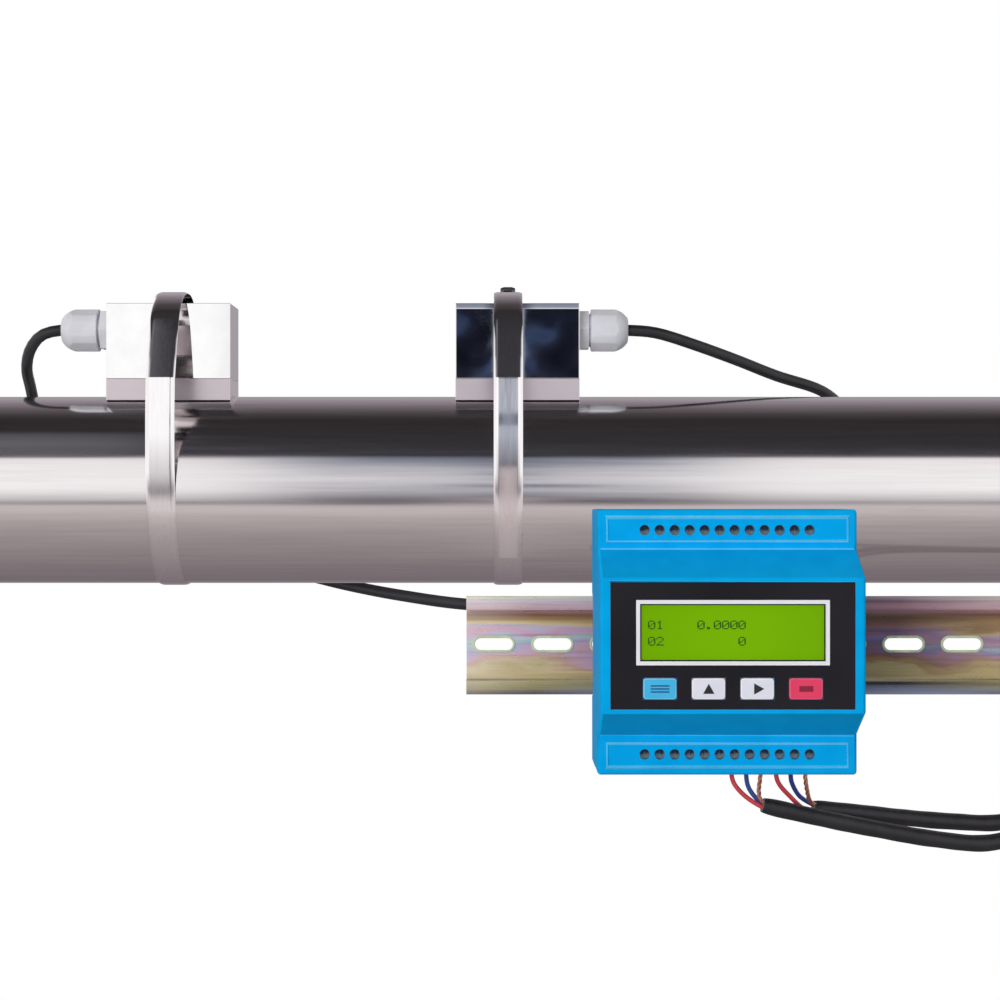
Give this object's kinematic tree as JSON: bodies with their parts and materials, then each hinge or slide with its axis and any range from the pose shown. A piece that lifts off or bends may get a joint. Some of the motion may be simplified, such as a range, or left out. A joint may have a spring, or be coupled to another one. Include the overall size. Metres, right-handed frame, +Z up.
{
  "type": "clamp-on ultrasonic flow meter",
  "caption": "Clamp-on ultrasonic flow meter: strapped transducers on a steel pipe, wired to a blue rail-mounted transmitter with display and keys.",
  "frame": {"origin": "on the pipe's axis, at the middle of the pipe section's length", "axes": "+X along the pipe to the right, +Y away from a reader of the display, +Z up"},
  "size_m": [0.42, 0.1402, 0.2041],
  "materials": {
    "polished_steel": "mirror-polished stainless steel",
    "pipe_steel": "polished stainless tube",
    "shoe_steel": "ground stainless steel",
    "strap_steel": "bright stainless band",
    "screw_steel": "dark stainless",
    "small_steel": "zinc-plated",
    "rail_zinc": "iridescent yellow zinc passivation",
    "gland_plastic": "light grey polyamide",
    "seal_rubber": "black rubber",
    "wedge_plastic": "amber engineering plastic",
    "piezo_ceramic": "silvered piezo ceramic",
    "lead_wire": "insulated wire",
    "case_blue": "moulded blue plastic",
    "overlay_black": "satin black film",
    "frame_white": "white print",
    "display_green": "lit yellow-green display",
    "light_green": "light guide",
    "key_blue": "light blue key",
    "key_white": "white key",
    "key_red": "red key",
    "part_black": "black plastic",
    "board_green": "circuit board",
    "relay_blue": "relay case",
    "terminal_green": "green terminal block",
    "cable_black": "black cable jacket",
    "sleeve_black": "black heat-shrink sleeve",
    "wire_colours": "red, blue and bare wires",
    "tie_white": "natural nylon"
  },
  "bodies": {
    "base": {"left_housing": "polished_steel", "right_housing": "polished_steel", "pipe_section": "pipe_steel", "left_shoe": "shoe_steel", "right_shoe": "shoe_steel", "left_strap": "strap_steel", "right_strap": "strap_steel", "left_buckle": "strap_steel", "right_buckle": "strap_steel", "display_screws": "small_steel", "top_terminal_screws": "small_steel", "bottom_terminal_screws": "small_steel", "display_holder": "small_steel", "latch_spring": "small_steel", "din_rail": "rail_zinc", "left_gland_body": "gland_plastic", "right_gland_body": "gland_plastic", "left_gland_seal": "seal_rubber", "right_gland_seal": "seal_rubber", "left_wedge": "wedge_plastic", "right_wedge": "wedge_plastic", "left_piezo": "piezo_ceramic", "right_piezo": "piezo_ceramic", "left_piezo_leads": "lead_wire", "right_piezo_leads": "lead_wire", "rear_base": "case_blue", "front_cover": "case_blue", "front_overlay": "overlay_black", "display_frame": "frame_white", "display_glass": "display_green", "backlight": "light_green", "key_switches": "part_black", "board_header": "part_black", "processor": "part_black", "capacitors": "part_black", "display_board": "board_green", "main_board": "board_green", "relay": "relay_blue", "top_terminals": "terminal_green", "bottom_terminals": "terminal_green", "left_lead": "cable_black", "left_coil": "cable_black", "left_tail": "cable_black", "right_lead": "cable_black", "right_coil": "cable_black", "right_tail": "cable_black", "left_sleeve": "sleeve_black", "right_sleeve": "sleeve_black", "left_wires": "wire_colours", "right_wires": "wire_colours", "coil_ties": "tie_white"},
    "left_nut": {"left_gland_nut": "gland_plastic"},
    "right_nut": {"right_gland_nut": "gland_plastic"},
    "left_screw": {"left_worm_screw": "screw_steel"},
    "right_screw": {"right_worm_screw": "screw_steel"},
    "menu_key": {"menu_key": "key_blue"},
    "up_key": {"up_key": "key_white"},
    "right_key": {"right_key": "key_white"},
    "enter_key": {"enter_key": "key_red"},
    "rail_latch": {"rail_latch": "part_black"}
  },
  "joints": [
    {"name": "menu_key_press", "type": "slide", "parent": "base", "child": "menu_key", "axis": [0, 1, 0], "range_m": [0, 0.0004], "stiffness_N_per_m": 2000},
    {"name": "up_key_press", "type": "slide", "parent": "base", "child": "up_key", "axis": [0, 1, 0], "range_m": [0, 0.0004], "stiffness_N_per_m": 2000},
    {"name": "right_key_press", "type": "slide", "parent": "base", "child": "right_key", "axis": [0, 1, 0], "range_m": [0, 0.0004], "stiffness_N_per_m": 2000},
    {"name": "enter_key_press", "type": "slide", "parent": "base", "child": "enter_key", "axis": [0, 1, 0], "range_m": [0, 0.0004], "stiffness_N_per_m": 2000},
    {"name": "latch_pull", "type": "slide", "parent": "base", "child": "rail_latch", "axis": [0, 0, -1], "range_m": [0, 0.0045], "stiffness_N_per_m": 800, "springref_m": -0.002, "deforming": ["latch_spring"]},
    {"name": "left_screw_turn", "type": "hinge", "parent": "base", "child": "left_screw", "pos_m": [-0.1221, 0.01755, 0.07105], "axis": [0, -0.3361, 0.9418], "continuous": true},
    {"name": "right_screw_turn", "type": "hinge", "parent": "base", "child": "right_screw", "pos_m": [0.003, 0.01755, 0.07105], "axis": [0, -0.3361, 0.9418], "continuous": true},
    {"name": "left_nut_turn", "type": "hinge", "parent": "base", "child": "left_nut", "pos_m": [-0.155, 0, 0.06], "axis": [-1, 0, 0], "continuous": true},
    {"name": "right_nut_turn", "type": "hinge", "parent": "base", "child": "right_nut", "pos_m": [0.04, 0, 0.06], "axis": [1, 0, 0], "continuous": true}
  ]
}
